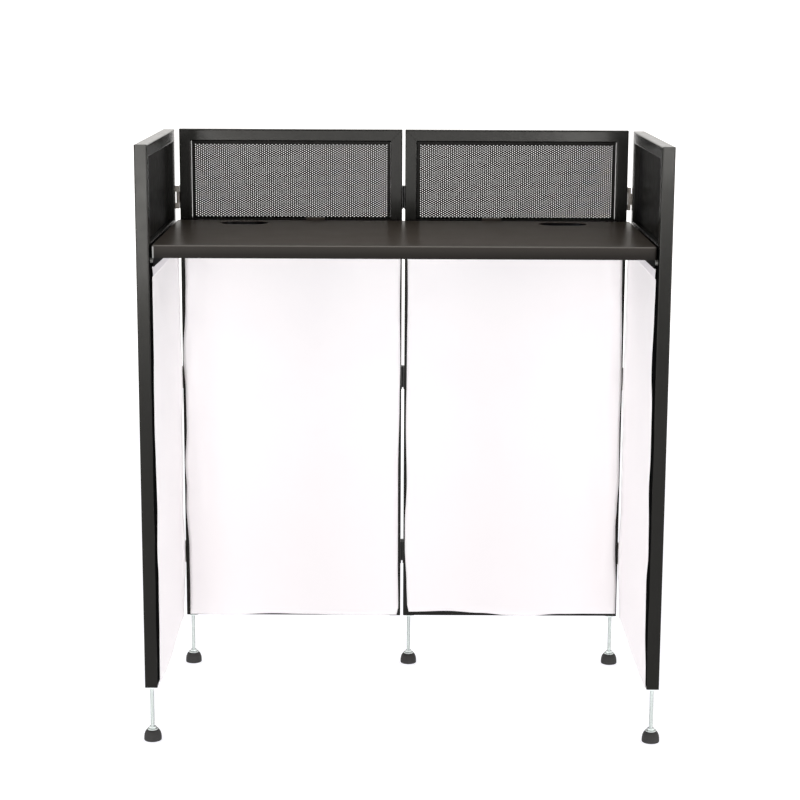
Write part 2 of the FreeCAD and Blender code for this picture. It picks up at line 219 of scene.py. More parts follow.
def weld_panel(panel):
    """The mitre seams on both faces of a panel and the butt seams on its outer face."""
    out = PANEL_OUT[panel]
    along = UP.cross(out)
    bead = bmesh.new()

    def at(place, height, face):
        return along * place + UP * height + out * face

    top_low, top_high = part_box(panel + "_top_rail")
    outer_face = max(out.dot(top_low), out.dot(top_high))
    inner_face = min(out.dot(top_low), out.dot(top_high))
    middle = along.dot(top_low + top_high) / 2
    for post in PANEL_POSTS[panel]:
        low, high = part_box(panel + "_" + post)
        edges = sorted((along.dot(low), along.dot(high)), key=lambda place: abs(place - middle))
        rail_side, open_side = edges
        lay_bead(bead, at(open_side, high.z, outer_face), at(rail_side, top_low.z, outer_face), out)
        lay_bead(bead, at(open_side, high.z, inner_face), at(rail_side, top_low.z, inner_face), -out)
    for rail in ("_middle_rail", "_bottom_rail"):
        low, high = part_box(panel + rail)
        for place in (along.dot(low), along.dot(high)):
            lay_bead(bead, at(place, low.z, outer_face), at(place, high.z, outer_face), out)
    bmesh.ops.recalc_face_normals(bead, faces=bead.faces)
    mesh = bpy.data.meshes.new(panel + "_weld_seams")
    bead.to_mesh(mesh)
    bead.free()
    make_piece(panel + "_weld_seams", mesh, satin_coat, panel + "_panel")


for panel in PANEL_OUT:
    weld_panel(panel)


# Perforated sheets
# Thin steel sheet punched all over with small round holes, each in the middle of six others. Its long
# edges are bent back into flanges between the rails, and its ends stop just short of the posts.

HOLE_RADIUS = 0.95 * MM
HOLE_PITCH = 4.68 * MM
COLUMN_STEP = HOLE_PITCH * math.cos(math.radians(30))
ROW_STEP = HOLE_PITCH / 2
MARGIN_COLUMNS = 1
MARGIN_TOP_ROWS = 2
SHEET_GAUGE = 1.0 * MM
# How much further a sheet runs at both ends than its solid, and how far the front sheets sit apart.
SHEET_EXTRA = 2.6 * MM
SHEET_SHIFT = 0.3 * MM
SHEET_BEND = 1.1 * MM
SHEET_BEND_STEPS = 4
DIAGONAL = math.sqrt(0.5)

sheet_coat = new_finish("black_coat_on_punched_sheet", colour=(0.006, 0.0058, 0.0054), roughness=0.4)
vary_colour(sheet_coat, size=60 * MM, dark=(0.0048, 0.0046, 0.0042), light=(0.0072, 0.007, 0.0066))
vary_roughness(sheet_coat, size=20 * MM, smooth=0.36, rough=0.44)
raise_bumps(sheet_coat, size=1.0 * MM, height=0.0008 * MM)
shader_of(sheet_coat).inputs["Specular IOR Level"].default_value = 0.12
shader_of(sheet_coat).inputs["Specular Tint"].default_value = WARM_GLOSS


def flange_section(depth):
    """One flange seen from its end, as points (depth behind the web, height) from the bend to the back."""
    section = []
    for step in range(1, SHEET_BEND_STEPS + 1):
        turn = math.pi / 2 * step / SHEET_BEND_STEPS
        section.append((SHEET_BEND * (1 - math.cos(turn)), SHEET_BEND * (1 - math.sin(turn))))
    section += [(depth, 0.0), (depth, SHEET_GAUGE), (SHEET_GAUGE, SHEET_GAUGE)]
    return section


def punch_sheet(name, length, height, depth):
    """A perforated channel: length along X, flanges towards +Y, up along Z, from the origin."""
    columns = round(length / COLUMN_STEP)
    rows = round((height - 2 * SHEET_BEND) / ROW_STEP)
    points = []
    faces = []
    known = {}

    def spot(key, x, z):
        """The web's front point at (x, z); the back one comes straight after it."""
        if key not in known:
            known[key] = len(points)
            points.append((x, 0.0, z))
            points.append((x, SHEET_GAUGE, z))
        return known[key]

    def lattice_x(i):
        return length * i / columns

    def lattice_z(j):
        return SHEET_BEND + (height - 2 * SHEET_BEND) * j / rows

    def corner(i, j):
        return spot((i, j), lattice_x(i), lattice_z(j))

    def rim(i, j, side_x, side_z):
        reach = HOLE_RADIUS * (DIAGONAL if side_x and side_z else 1.0)
        return spot((i, j, side_x, side_z), lattice_x(i) + side_x * reach, lattice_z(j) + side_z * reach)

    def two_sided(loop, turned):
        """The same face on the front and on the back of the web."""
        front = loop[::-1] if turned else loop
        faces.append(front)
        faces.append([index + 1 for index in front[::-1]])

    def quarter(i, j, side_x, side_z, centre):
        """The part of one lattice square nearest to the hole, or to the plain edge, at (i, j)."""
        beside = corner(i + side_x, j)
        above = corner(i, j + side_z)
        turned = side_x != side_z
        if MARGIN_COLUMNS < i < columns - MARGIN_COLUMNS and 0 < j < rows - MARGIN_TOP_ROWS:
            arc = [rim(i, j, side_x, 0), rim(i, j, side_x, side_z), rim(i, j, 0, side_z)]
            two_sided([arc[0], beside, centre, arc[1]], turned)
            two_sided([arc[1], centre, above, arc[2]], turned)
            for a, b in zip(arc, arc[1:]):
                wall = [a, b, b + 1, a + 1]
                faces.append(wall[::-1] if turned else wall)
        else:
            two_sided([corner(i, j), beside, centre, above], turned)

    for i in range(columns):
        for j in range(rows):
            centre = spot((i, j, "centre"), lattice_x(i + 0.5), lattice_z(j + 0.5))
            if (i + j) % 2 == 0:
                quarter(i, j, 1, 1, centre)
                quarter(i + 1, j + 1, -1, -1, centre)
            else:
                quarter(i + 1, j, -1, 1, centre)
                quarter(i, j + 1, 1, -1, centre)

    def bend_flange(j, upward):
        """The flange along the web's bottom or top edge, with its two end faces."""
        lines = [[corner(i, j) for i in range(columns + 1)]]
        for back, rise in flange_section(depth):
            level = height - rise if upward else rise
            lines.append(list(range(len(points), len(points) + columns + 1)))
            points.extend((lattice_x(i), back, level) for i in range(columns + 1))
        lines.append([index + 1 for index in lines[0]])
        for line, next_line in zip(lines, lines[1:]):
            for i in range(columns):
                loop = [line[i + 1], line[i], next_line[i], next_line[i + 1]]
                faces.append(loop[::-1] if upward else loop)
        first_end = [line[0] for line in lines]
        last_end = [line[-1] for line in lines]
        faces.append(first_end if upward else first_end[::-1])
        faces.append(last_end[::-1] if upward else last_end)

    bend_flange(0, False)
    bend_flange(rows, True)
    for j in range(rows):
        for i in (0, columns):
            low, high = corner(i, j), corner(i, j + 1)
            loop = [low, high, high + 1, low + 1]
            faces.append(loop if i == 0 else loop[::-1])
    mesh = bpy.data.meshes.new(name)
    mesh.from_pydata(points, [], faces)
    mesh.validate()
    return mesh


def fit_sheet(panel, mesh, corner_place, turn):
    """Stands a sheet in its panel, turned to face into the booth."""
    piece = make_piece(panel + "_perforated_sheet", mesh, sheet_coat, panel + "_panel")
    piece.matrix_world = Matrix.Translation(corner_place) @ Matrix.Rotation(turn, 4, "Z")
    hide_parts(panel + "_mesh_sheet")


low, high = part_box("left_mesh_sheet")
right_low, right_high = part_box("right_mesh_sheet")
size = high - low
side_sheet = punch_sheet("side_perforated_sheet", size.y + 2 * SHEET_EXTRA, size.z, size.x)
fit_sheet("left", side_sheet, Vector((high.x, low.y - SHEET_EXTRA, low.z)), math.pi / 2)
fit_sheet("right", side_sheet, Vector((right_low.x, right_high.y + SHEET_EXTRA, right_low.z)), -math.pi / 2)
low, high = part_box("front_left_mesh_sheet")
right_low, right_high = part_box("front_right_mesh_sheet")
size = high - low
front_sheet = punch_sheet("front_perforated_sheet", size.x + 2 * SHEET_EXTRA, size.z, size.y)
fit_sheet("front_left", front_sheet, low - Vector((SHEET_EXTRA - SHEET_SHIFT, 0, 0)), 0.0)
fit_sheet("front_right", front_sheet, right_low - Vector((SHEET_EXTRA + SHEET_SHIFT, 0, 0)), 0.0)


# Threaded plugs
# Black nylon plugs driven into the bottom of the posts, each with an M8 thread for a foot. Only their
# undersides can be seen, from below.

nylon = new_finish("black_nylon", colour=(0.02, 0.02, 0.02), roughness=0.55)
vary_colour(nylon, size=10 * MM, dark=(0.016, 0.016, 0.016), light=(0.024, 0.024, 0.024))
vary_roughness(nylon, size=8 * MM, smooth=0.48, rough=0.62)
raise_bumps(nylon, size=0.8 * MM, height=0.02 * MM)

for panel in PANEL_OUT:
    dress(panel + "_threaded_plugs", nylon)


# Hinges
# Steel butt hinges, three to a line: leaves welded to the end faces of the posts and a pin through
# the rolled knuckles. The corner ones are left zinc plated, and the centre ones are coated black.

hinge_zinc = new_finish("dull_zinc_on_hinges", colour=(0.27, 0.245, 0.22), roughness=0.42, metallic=0.9)
vary_colour(hinge_zinc, size=12 * MM, dark=(0.21, 0.19, 0.17), light=(0.33, 0.30, 0.27))
vary_roughness(hinge_zinc, size=6 * MM, smooth=0.36, rough=0.5)
raise_bumps(hinge_zinc, size=0.7 * MM, height=0.015 * MM)

hinge_black = new_finish("black_coat_on_hinges", colour=(0.022, 0.021, 0.02), roughness=0.4)
vary_colour(hinge_black, size=15 * MM, dark=(0.018, 0.017, 0.016), light=(0.03, 0.028, 0.027))
vary_roughness(hinge_black, size=8 * MM, smooth=0.34, rough=0.46)
raise_bumps(hinge_black, size=0.9 * MM, height=0.02 * MM)

for node_name in nodes:
    if node_name.endswith(("_leaves", "_pins")):
        dress(node_name, hinge_black if node_name.startswith("centre") else hinge_zinc)


# Screw feet
# An M8 zinc plated screw with a rolled thread stands in a moulded rubber pad, with a hexagon for a
# spanner above its flange. A lock nut is turned up against the post.

ROUND_STEPS = 48
THREAD_PITCH = 1.25 * MM
THREAD_STEPS = 16
CREST_RADIUS = 3.95 * MM
CORE_RADIUS = 3.4 * MM
ROOT_RADIUS = 3.3 * MM
ROOT_HALF = 0.45
HEX_CORNERS = 6
HEX_ACROSS = 13.0 * MM
HEX_HEIGHT = 4.0 * MM
FLANGE_RADIUS = 11.0 * MM
FLANGE_HEIGHT = 2.0 * MM
FLANGE_ROUND = 0.6 * MM
CHAMFER_SLOPE = math.tan(math.radians(30))
CHAMFER_START = 0.95
NUT_BORE = 4.05 * MM
CRISP_ANGLE = math.radians(40)
# The pad from its bottom up, as shares of its widest radius and of its height.
PAD_PROFILE = (
    (0.92, 0.0), (0.98, 0.02), (1.0, 0.07), (1.0, 0.20), (0.99, 0.38), (0.96, 0.55), (0.905, 0.70),
    (0.83, 0.83), (0.74, 0.93), (0.64, 1.0),
)

# The painted shade on the plating where it turns away, standing in for a darker reflection, and how far it
# has turned where that starts and is full.
PAINTED_EDGE_SHADE = (0.06, 0.075, 0.075)
EDGE_FROM = 0.42
EDGE_FULL = 0.8


def paint_over(finish, mask, colour):
    """Lays another colour over a finish's own, where the mask is one."""
    tree = finish.node_tree
    socket = shader_of(finish).inputs["Base Color"]
    own_colour = socket.links[0].from_socket
    mix = tree.nodes.new("ShaderNodeMixRGB")
    mix.inputs["Color2"].default_value = (*colour, 1.0)
    tree.links.new(mask, mix.inputs["Fac"])
    tree.links.new(own_colour, mix.inputs["Color1"])
    tree.links.new(mix.outputs["Color"], socket)


def paint_shade_turning_away(finish, colour):
    """Paints shade into a bright finish where its surface turns away, a painted reflection, as bare plating
    looks against white.
    """
    tree = finish.node_tree
    facing = tree.nodes.new("ShaderNodeLayerWeight")
    ramp = tree.nodes.new("ShaderNodeMapRange")
    ramp.inputs["From Min"].default_value = EDGE_FROM
    ramp.inputs["From Max"].default_value = EDGE_FULL
    tree.links.new(facing.outputs["Facing"], ramp.inputs["Value"])
    paint_over(finish, ramp.outputs["Result"], colour)


bright_zinc = new_finish("bright_zinc_plate", colour=(0.86, 0.91, 0.89), roughness=0.4, metallic=1.0)
vary_colour(bright_zinc, size=10 * MM, dark=(0.84, 0.89, 0.87), light=(0.88, 0.93, 0.91))
vary_roughness(bright_zinc, size=5 * MM, smooth=0.4, rough=0.44)
raise_bumps(bright_zinc, size=0.5 * MM, height=0.003 * MM)
# Painted shade at the plating's turning edges, in place of a darker reflection.
paint_shade_turning_away(bright_zinc, PAINTED_EDGE_SHADE)

foot_rubber = new_finish("moulded_black_rubber", colour=(0.02, 0.0193, 0.0185), roughness=0.75)
vary_colour(foot_rubber, size=5 * MM, dark=(0.013, 0.0124, 0.0119), light=(0.028, 0.0268, 0.0257))
vary_roughness(foot_rubber, size=5 * MM, smooth=0.66, rough=0.84)
raise_bumps(foot_rubber, size=0.6 * MM, height=0.04 * MM)


def turn_profile(metal, axis, profile):
    """A turned solid: the profile's (radius, height) points swung round an upright axis."""
    rings = []
    for radius, height in profile:
        ring = []
        for step in range(ROUND_STEPS):
            turn = 2 * math.pi * step / ROUND_STEPS
            reach = Vector((radius * math.cos(turn), radius * math.sin(turn), height))
            ring.append(metal.verts.new(axis + reach))
        rings.append(ring)
    join_rings(metal, rings)


def join_rings(metal, rings, bored=False):
    """Skins a stack of rings, and closes its two ends unless it is bored through."""
    steps = len(rings[0])
    pairs = list(zip(rings, rings[1:]))
    if bored:
        pairs.append((rings[-1], rings[0]))
    for ring, next_ring in pairs:
        for step in range(steps):
            after = (step + 1) % steps
            metal.faces.new((ring[step], ring[after], next_ring[after], next_ring[step])).smooth = True
    if not bored:
        metal.faces.new(rings[0][::-1])
        metal.faces.new(rings[-1])


def hexagon_reach(turn):
    """How far a hexagon's side is from its middle, in a direction."""
    sector = 2 * math.pi / HEX_CORNERS
    off_flat = (turn + sector / 2) % sector - sector / 2
    return HEX_ACROSS / 2 / math.cos(off_flat)


def add_hexagon(metal, axis, bottom, top, bore=0.0):
    """A hexagon with the round chamfer of a turned nut on both faces, bored or solid."""
    face_radius = HEX_ACROSS / 2 * CHAMFER_START
    rings = [[], [], [], []]
    bore_rings = [[], []]
    for step in range(ROUND_STEPS):
        turn = 2 * math.pi * step / ROUND_STEPS
        outward = Vector((math.cos(turn), math.sin(turn), 0))
        reach = hexagon_reach(turn)
        chamfer = (reach - face_radius) * CHAMFER_SLOPE
        section = (
            (face_radius, bottom),
            (reach, bottom + chamfer),
            (reach, top - chamfer),
            (face_radius, top),
        )
        for ring, (radius, height) in zip(rings, section):
            ring.append(metal.verts.new(axis + outward * radius + UP * height))
        if bore:
            bore_rings[0].append(metal.verts.new(axis + outward * bore + UP * top))
            bore_rings[1].append(metal.verts.new(axis + outward * bore + UP * bottom))
    if bore:
        join_rings(metal, rings + bore_rings, bored=True)
    else:
        join_rings(metal, rings)


def cut_thread(metal, axis, bottom, top):
    """A right-hand thread as one ridge wound round the screw's core."""
    turns = (top - bottom) / THREAD_PITCH - 1
    steps = int(turns * THREAD_STEPS)
    ridge = []
    for step in range(steps + 1):
        turn = 2 * math.pi * step / THREAD_STEPS
        outward = Vector((math.cos(turn), math.sin(turn), 0))
        middle = bottom + THREAD_PITCH * (0.5 + step / THREAD_STEPS)
        fade = min(1.0, step / THREAD_STEPS, (steps - step) / THREAD_STEPS)
        crest = ROOT_RADIUS + (CREST_RADIUS - ROOT_RADIUS) * fade
        ridge.append((
            metal.verts.new(axis + outward * ROOT_RADIUS + UP * (middle - ROOT_HALF * THREAD_PITCH)),
            metal.verts.new(axis + outward * crest + UP * middle),
            metal.verts.new(axis + outward * ROOT_RADIUS + UP * (middle + ROOT_HALF * THREAD_PITCH)),
        ))
    for (low, crest, high), (next_low, next_crest, next_high) in zip(ridge, ridge[1:]):
        metal.faces.new((low, next_low, next_crest, crest)).smooth = True
        metal.faces.new((crest, next_crest, next_high, high)).smooth = True
        metal.faces.new((high, next_high, next_low, low)).smooth = True


def finish_metal(metal, name):
    """Closes a built mesh, with its edges kept crisp where faces meet at a steep angle."""
    bmesh.ops.recalc_face_normals(metal, faces=metal.faces)
    mesh = bpy.data.meshes.new(name)
    metal.to_mesh(mesh)
    metal.free()
    mesh.set_sharp_from_angle(angle=CRISP_ANGLE)
    return mesh


def make_foot(foot):
    """One foot: the threaded stem, and the pad that it stands in."""
    low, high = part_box(foot + "_stem")
    axis = Vector(((low.x + high.x) / 2, (low.y + high.y) / 2, 0))
    flange_top = low.z + FLANGE_HEIGHT
    hexagon_top = flange_top + HEX_HEIGHT
    stem = bmesh.new()
    turn_profile(stem, axis, (
        (FLANGE_RADIUS - FLANGE_ROUND, low.z),
        (FLANGE_RADIUS, low.z + FLANGE_ROUND),
        (FLANGE_RADIUS, flange_top - FLANGE_ROUND),
        (FLANGE_RADIUS - FLANGE_ROUND, flange_top),
    ))
    add_hexagon(stem, axis, flange_top, hexagon_top)
    turn_profile(stem, axis, (
        (CORE_RADIUS, hexagon_top),
        (CORE_RADIUS, high.z - FLANGE_ROUND),
        (CORE_RADIUS - FLANGE_ROUND, high.z),
    ))
    cut_thread(stem, axis, hexagon_top, high.z)
    stem_mesh = finish_metal(stem, foot + "_stem")
    piece = make_piece(foot + "_threaded_stem", stem_mesh, bright_zinc, foot)
    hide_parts(foot + "_stem")

    low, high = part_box(foot + "_pad")
    base_radius = (high.x - low.x) / 2
    height = high.z - low.z
    profile = [(base_radius * reach, low.z + height * rise) for reach, rise in PAD_PROFILE]
    pad = bmesh.new()
    turn_profile(pad, axis, profile)
    pad_mesh = finish_metal(pad, foot + "_pad")
    piece = make_piece(foot + "_rubber_pad", pad_mesh, foot_rubber, foot)
    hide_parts(foot + "_pad")
    return axis


FEET_UNDER = {
    "left_near_foot": "left",
    "front_left_foot": "front_left",
    "front_centre_foot": "front_right",
    "front_right_foot": "front_right",
    "right_near_foot": "right",
}
nut_axes = {}
for foot, panel in FEET_UNDER.items():
    nut_axes.setdefault(panel, []).append(make_foot(foot))
for panel, axes in nut_axes.items():
    low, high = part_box(panel + "_lock_nuts")
    nuts = bmesh.new()
    for axis in axes:
        add_hexagon(nuts, axis, low.z, high.z, bore=NUT_BORE)
    name = panel + "_chamfered_lock_nuts"
    piece = make_piece(name, finish_metal(nuts, name), bright_zinc, panel + "_panel")
    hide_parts(panel + "_lock_nuts")


# Scrims
# White stretch fabric laid over the tubes on the inside of each panel, under the table. Its edges wander.
# On the side panels it hangs a little below the rail, black tape carries it along the near edge and the
# hemmed top, and the far edge curls over the hinges.

SCRIM_ACROSS = 66
SCRIM_UP = 110
HEM_ROWS = 16
SCRIM_GAUGE = 0.5 * MM
SCRIM_LIFT = 0.6 * MM
SLACK_SIZE = 90 * MM
SLACK_HEIGHT = 0.35 * MM
HEM_DEPTH = 18 * MM
HEM_ZONE = 1.3 * HEM_DEPTH
HEM_LIFT = 1.6 * MM
CURL_WIDTH = 20 * MM
# How far the side scrims' far edges curl at places up from the bottom, in millimetres.
CURL_HEIGHTS = (
    (0, 1.0), (60, 2.6), (100, 5.0), (175, 5.0), (230, 2.8), (440, 2.8), (490, 5.0), (565, 5.0), (640, 3.4),
)
TAPE_ON_POST = 27.5 * MM
TAPE_UNDER_CLOTH = 40 * MM
TAPE_AT_TOP = 41 * MM
TAPE_GAUGE = 0.3 * MM
TAPE_STEPS = 60
TAPE_WANDER = 1.0 * MM
# Where the near tape starts and ends across a side scrim of a given width.
TAPE_SIDE = {
    "left": lambda width: (-TAPE_ON_POST, TAPE_UNDER_CLOTH),
    "right": lambda width: (width - TAPE_UNDER_CLOTH, width + TAPE_ON_POST),
}


def place_on(finish):
    """The places on a piece along its three axes, for masks."""
    tree = finish.node_tree
    place = tree.nodes.new("ShaderNodeTexCoord")
    axes = tree.nodes.new("ShaderNodeSeparateXYZ")
    tree.links.new(place.outputs["Object"], axes.inputs["Vector"])
    return axes.outputs


def fade(finish, place, full, none):
    """A mask that is one at the full place along an axis and falls to nothing at the other place."""
    tree = finish.node_tree
    ramp = tree.nodes.new("ShaderNodeMapRange")
    ramp.interpolation_type = "SMOOTHSTEP"
    ramp.inputs["From Min"].default_value = none
    ramp.inputs["From Max"].default_value = full
    tree.links.new(place, ramp.inputs["Value"])
    return ramp.outputs["Result"]


# The cloth is painted a little greyer towards the floor: painted shade against the light that the floor
# throws up.
SCRIM_SHADE_LOW = 100 * MM
SCRIM_SHADE_HIGH = 850 * MM
SCRIM_SHADE_GREY = (0.87, 0.838, 0.842)

scrim_cloth = new_finish("white_stretch_scrim", colour=(0.96, 0.935, 0.94), roughness=0.9)
vary_colour(scrim_cloth, size=120 * MM, dark=(0.95, 0.925, 0.932), light=(0.97, 0.945, 0.948))
scrim_shade = fade(scrim_cloth, place_on(scrim_cloth)["Z"], SCRIM_SHADE_LOW, SCRIM_SHADE_HIGH)
paint_over(scrim_cloth, scrim_shade, SCRIM_SHADE_GREY)
shader_of(scrim_cloth).inputs["Sheen Weight"].default_value = 0.15
shader_of(scrim_cloth).inputs["Specular IOR Level"].default_value = 0.2
raise_bumps(scrim_cloth, size=0.7 * MM, height=0.02 * MM)

# The hem is painted greyer than the single cloth: painted shade, where less light comes through the doubled
# cloth.
hem_shade_cloth = new_finish("white_scrim_hem_with_painted_shade", colour=(0.86, 0.835, 0.86), roughness=0.9)
vary_colour(hem_shade_cloth, size=60 * MM, dark=(0.845, 0.82, 0.85), light=(0.875, 0.85, 0.87))
shader_of(hem_shade_cloth).inputs["Specular IOR Level"].default_value = 0.2
raise_bumps(hem_shade_cloth, size=0.7 * MM, height=0.02 * MM)

# Black tape, painted still blacker and given no gloss: partly its own black, partly painted shade in the
# narrow gap by the post.
edge_tape_with_painted_shade = new_finish("black_woven_edge_tape", colour=(0.003, 0.003, 0.003), roughness=0.9)
vary_colour(edge_tape_with_painted_shade, size=6 * MM, dark=(0.002, 0.002, 0.002), light=(0.005, 0.005, 0.005))
shader_of(edge_tape_with_painted_shade).inputs["Specular IOR Level"].default_value = 0.0
raise_bumps(edge_tape_with_painted_shade, size=0.8 * MM, height=0.1 * MM)


def read_edge(points, place):
    """The edge's value at a place, eased between the given (place, value) points."""
    if place <= points[0][0]:
        return points[0][1]
    for (before, value), (after, next_value) in zip(points, points[1:]):
        if place <= after:
            share = (place - before) / (after - before)
            ease = share * share * (3 - 2 * share)
            return value + (next_value - value) * ease
    return points[-1][1]


def pull_height(pulls, across, up):
    """How far the soft pulls in the cloth lift it at a point."""
    total = 0.0
    for pull_across, pull_up, half_width, half_length, lean, lift in pulls:
        tilt = math.radians(lean)
        side = (across - pull_across) * math.cos(tilt) - (up - pull_up) * math.sin(tilt)
        run = (across - pull_across) * math.sin(tilt) + (up - pull_up) * math.cos(tilt)
        total += lift * math.exp(-(side / half_width) ** 2 - (run / half_length) ** 2)
    return total


def curl_height(edges, across, up, width):
    """How far a loose far edge curls away from the tubes at a point, most where it covers a hinge."""
    if "curl" not in edges:
        return 0.0
    from_edge = width - across if edges["curl"] == "last" else across
    share = max(0.0, 1.0 - from_edge / CURL_WIDTH)
    return read_edge(CURL_HEIGHTS, up / MM) * MM * share * share


def hem_height(from_top):
    """How far the turned-under hem along a top edge stands out, most at its stitches."""
    if from_top > HEM_DEPTH:
        return 0.0
    return HEM_LIFT * from_top / HEM_DEPTH


def row_shares(height):
    """The heights of a scrim's rows as shares of its height, closer together near the hem."""
    hem_zone = HEM_ZONE / height
    shares = [(1 - hem_zone) * row / SCRIM_UP for row in range(SCRIM_UP)]
    shares += [1 - hem_zone * (1 - row / HEM_ROWS) for row in range(HEM_ROWS + 1)]
    return shares


def stretch_scrim(panel, start, along, inward, width, height, edges, pulls):
    """One scrim: a grid between four wandering edges, lifted by its pulls, with tape on a side panel."""
    placing = Matrix.Translation(start) @ Matrix((along, UP, inward)).transposed().to_4x4()
    taped = panel in TAPE_SIDE
    if taped:
        sew_tape(panel, placing, width, height)
        height -= TAPE_AT_TOP
    cloth = bmesh.new()
    grid = []
    for i in range(SCRIM_ACROSS + 1):
        line = []
        for share_up in row_shares(height):
            share_across = i / SCRIM_ACROSS
            flat_across = width * share_across
            flat_up = height * share_up
            first = read_edge(edges["first"], flat_up / MM) * MM
            last = read_edge(edges["last"], flat_up / MM) * MM
            bottom = read_edge(edges["bottom"], flat_across / MM) * MM
            across = flat_across + first * (1 - share_across) - last * share_across
            up = flat_up + bottom * (1 - share_up)
            slack = noise.noise(Vector((across, up, len(panel))) / SLACK_SIZE)
            lift = SCRIM_LIFT + SLACK_HEIGHT * (1 + slack)
            lift += pull_height(pulls, across / MM, up / MM) * MM
            lift += curl_height(edges, across, up, width)
            if taped:
                lift += hem_height(height - up)
            line.append(cloth.verts.new((across, up, lift)))
        grid.append(line)
    for line, next_line in zip(grid, grid[1:]):
        for j in range(len(line) - 1):
            face = cloth.faces.new((line[j], next_line[j], next_line[j + 1], line[j + 1]))
            face.smooth = True
            face.material_index = int(taped and height - line[j].co.y < HEM_DEPTH)
    cloth.transform(placing)
    mesh = bpy.data.meshes.new(panel + "_stretch_scrim")
    cloth.to_mesh(mesh)
    cloth.free()
    mesh.materials.append(scrim_cloth)
    if taped:
        mesh.materials.append(hem_shade_cloth)
    piece = make_piece(panel + "_stretch_scrim", mesh, scrim_cloth, panel + "_panel")
    thickness = piece.modifiers.new("cloth_thickness", "SOLIDIFY")
    thickness.thickness = SCRIM_GAUGE
    thickness.offset = 0.0
    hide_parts(panel + "_scrim")
    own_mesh(piece)


def lay_strip(tape, run, side, length, first, last):
    """One straight strip of tape with rounded selvedges, as long as given, between two side places."""
    section = (
        (first, 0.0),
        (first + TAPE_GAUGE, TAPE_GAUGE),
        (last - TAPE_GAUGE, TAPE_GAUGE),
        (last, 0.0),
    )
    rings = []
    for step in range(TAPE_STEPS + 1):
        place = length * step / TAPE_STEPS
        wander = TAPE_WANDER * noise.noise(Vector((place / SLACK_SIZE, 0.0, first)))
        ring = []
        for sideways, lift in section:
            ring.append(tape.verts.new(run * place + side * (sideways + wander) + UP * lift))
        rings.append(ring)
    join_rings(tape, rings)


def sew_tape(panel, placing, width, height):
    """The black tape of a side scrim, along its near edge and under the middle rail."""
    across = Vector((1, 0, 0))
    up = Vector((0, 1, 0))
    tape = bmesh.new()
    lay_strip(tape, up, across, height, *TAPE_SIDE[panel](width))
    lay_strip(tape, across, up, width, height - TAPE_AT_TOP - HEM_DEPTH, height)
    tape.transform(placing)
    name = panel + "_scrim_edge_tape"
    return make_piece(name, finish_metal(tape, name), edge_tape_with_painted_shade, panel + "_panel")


# Places along the edges and how far the cloth stands in from where it would lie straight, in
# millimetres: up the sides from the bottom, and across the bottom from the first side.
FRONT_LEFT_EDGES = {
    "first": ((0, 3), (60, 3.6), (150, 3), (245, -2), (290, -0.5), (335, -2.8), (420, 1.7), (500, 1),
              (575, -3.5), (690, 3.2), (735, 4.3), (866, 3)),
    "last": ((0, 3.2), (18, -0.4), (110, 1.0), (330, 1.3), (470, -1.1), (560, -2.5), (690, -0.9),
             (866, -2.8)),
    "bottom": ((0, -4), (90, -5.5), (185, -1.8), (260, -3.2), (330, -4.5), (410, -5.4), (462, -4)),
}
FRONT_RIGHT_EDGES = {
    "first": ((0, 7.7), (15, 4.2), (60, 2.7), (150, -1.6), (200, -1.7), (290, 1.9), (425, -0.6), (560, 0.7),
              (710, 1.9), (866, 0.2)),
    "last": ((0, -2.4), (60, -2.7), (150, 1.4), (200, 2.1), (245, 0), (300, -3), (430, -1.2), (515, -3.1),
             (600, -1.6), (735, 1.6), (866, 4)),
    "bottom": ((0, 3), (84, 5.3), (160, 1), (226, -4.5), (265, -5.6), (335, -0.7), (400, 0), (462, 0)),
}
LEFT_EDGES = {
    "first": ((0, 5), (20, 6), (110, 15), (165, 13), (215, 15), (265, 6), (355, 16), (450, 10), (520, 2),
              (600, 4), (650, 9), (785, 10), (825, 13)),
    "last": ((0, -4), (200, -3), (400, -5), (600, -3), (825, -2)),
    "bottom": ((0, -7), (50, -10), (110, -19), (210, -20), (300, -13), (380, -9), (441, -7)),
    "curl": "last",
}
RIGHT_EDGES = {
    "first": ((0, -4), (200, -3), (400, -5), (600, -3), (825, -2)),
    "last": ((0, -18), (30, -16), (110, 10), (210, 15), (270, -2), (320, 3), (400, 18), (460, 8), (550, 9),
             (640, 28), (745, 15), (800, 8), (825, 13)),
    "bottom": ((0, -7), (90, -10), (200, -13), (320, -12), (400, -9), (441, -8)),
    "curl": "first",
}
# Soft pulls: place across and up, half width and half length of the ridge, lean from upright in
# degrees, and lift, all but the lean in millimetres.
FRONT_LEFT_PULLS = (
    (14, 560, 9, 90, 2, 2.6),
    (26, 330, 10, 120, -2, 2.4),
    (16, 760, 8, 70, 6, 3.0),
    (40, 840, 22, 16, 60, 1.8),
    (58, 780, 12, 110, 3, 1.6),
    (70, 420, 20, 260, 1, 0.8),
    (450, 700, 8, 120, 0, 0.8),
    (452, 120, 8, 80, 0, 0.9),
    (230, 14, 90, 7, 4, 0.5),
    (380, 850, 90, 8, 88, 0.6),
)
FRONT_RIGHT_PULLS = (
    (448, 700, 10, 12, 60, 2.6),
    (440, 560, 10, 90, 2, 2.6),
    (446, 330, 9, 120, -2, 2.4),
    (444, 130, 9, 70, 3, 2.4),
    (400, 420, 22, 260, 1, 0.8),
    (436, 770, 10, 60, -8, 2.8),
    (420, 845, 22, 14, -60, 1.8),
    (10, 500, 7, 160, 0, 0.8),
    (240, 10, 60, 8, 6, 0.7),
    (30, 24, 26, 10, 40, 0.6),
)
